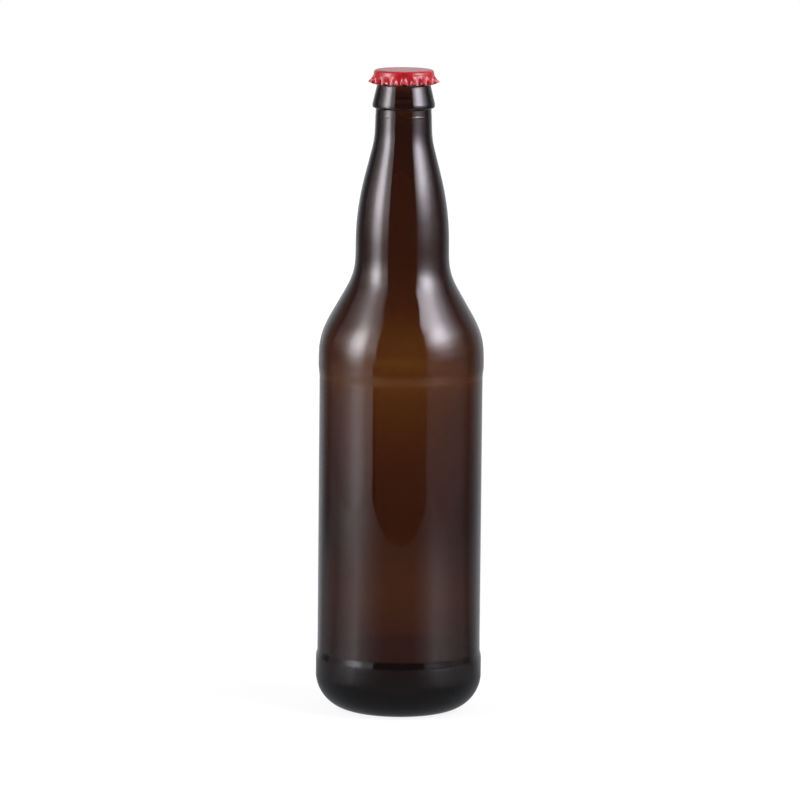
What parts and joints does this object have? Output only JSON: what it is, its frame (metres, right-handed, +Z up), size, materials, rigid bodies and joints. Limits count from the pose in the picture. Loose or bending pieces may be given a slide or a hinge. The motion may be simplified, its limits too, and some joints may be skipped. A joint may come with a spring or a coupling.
{
  "type": "long-necked amber beer bottle with a crown cap",
  "caption": "Tall empty long-neck amber glass beer bottle with a label panel, stepped bands, a waisted neck and a fluted red crown cap lying on its lip.",
  "frame": {"origin": "centre of the bearing ring's plane, on the bottle's axis", "axes": "+Z up along the bottle's axis, from base to lip; a ridge of the cap points along -Y"},
  "size_m": [0.075, 0.075, 0.2907],
  "materials": {
    "amber_glass": "clear polished brown bottle glass, dark where it is thick",
    "red_lacquer": "glossy red lacquer on thin tinplate, plain and unprinted"
  },
  "bodies": {
    "root": {"bottle": "amber_glass", "crown_cap": "red_lacquer"}
  },
  "joints": []
}
